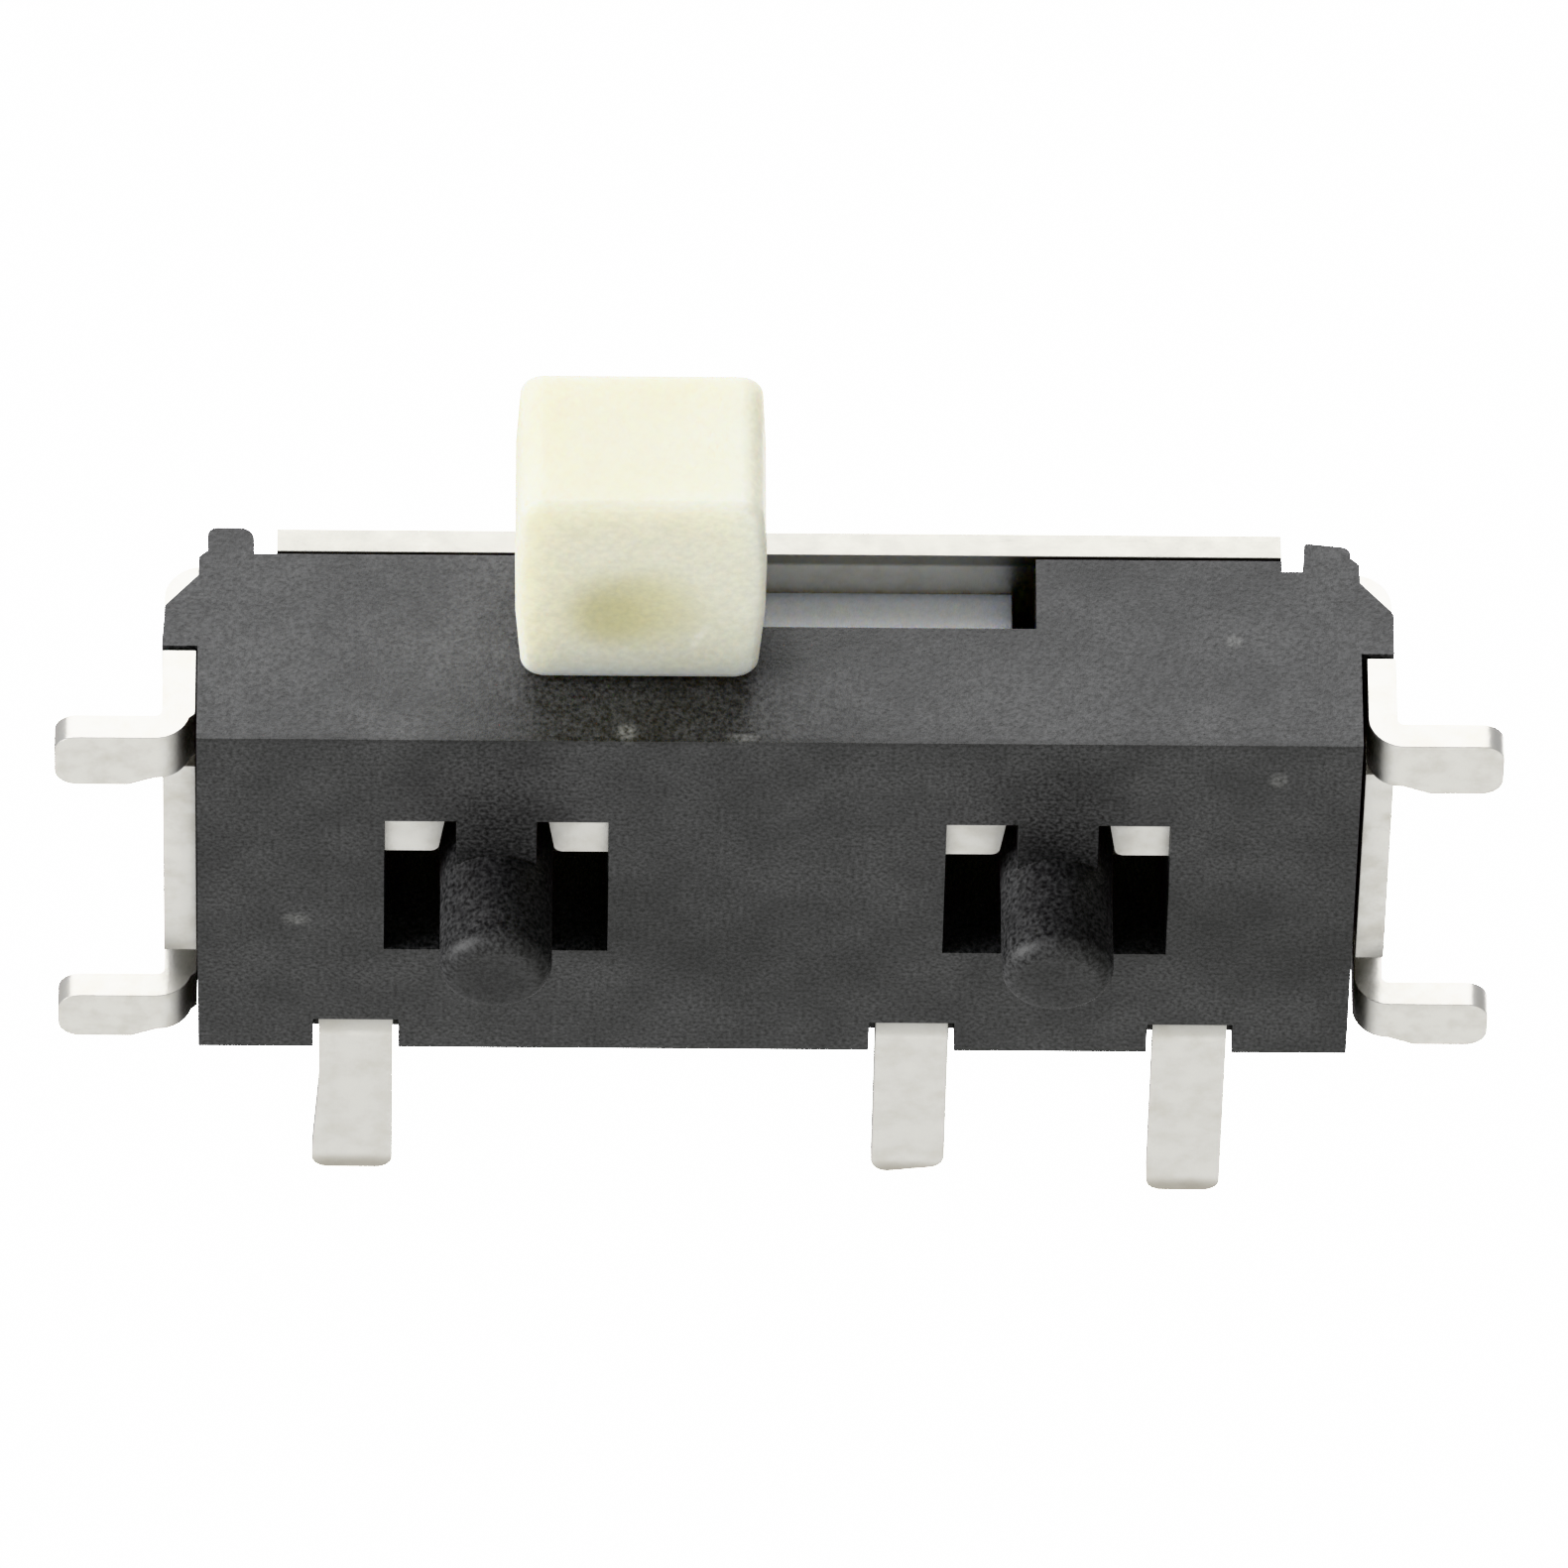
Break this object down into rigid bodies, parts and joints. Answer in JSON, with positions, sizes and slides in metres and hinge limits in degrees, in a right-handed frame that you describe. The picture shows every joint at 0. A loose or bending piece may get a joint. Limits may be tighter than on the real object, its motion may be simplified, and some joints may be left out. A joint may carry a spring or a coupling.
{
  "type": "slide switch",
  "caption": "Miniature surface-mount slide switch: moulded base with locating pegs, folded metal cover with solder lugs, side lever and flat solder terminals.",
  "frame": {"origin": "middle of the base's face that seats on the circuit board", "axes": "+Z away from the board towards the cover, +X along the lever's travel, lever pointing to -Y, solder terminals leaving at +Y"},
  "size_m": [0.0078, 0.0055, 0.002],
  "materials": {
    "base_plastic": "moulded, matte",
    "cover_metal": "plated sheet, satin",
    "slider_plastic": "moulded, matte",
    "contact_metal": "silver plated",
    "terminal_metal": "silver plated, satin"
  },
  "bodies": {
    "housing": {"base": "base_plastic", "cover": "cover_metal", "terminal_left": "terminal_metal", "terminal_common": "terminal_metal", "terminal_right": "terminal_metal"},
    "slider": {"slider": "slider_plastic", "moving_contact": "contact_metal"}
  },
  "joints": [
    {"name": "lever_slide", "type": "slide", "parent": "housing", "child": "slider", "axis": [1, 0, 0], "range_m": [0, 0.0015]}
  ]
}
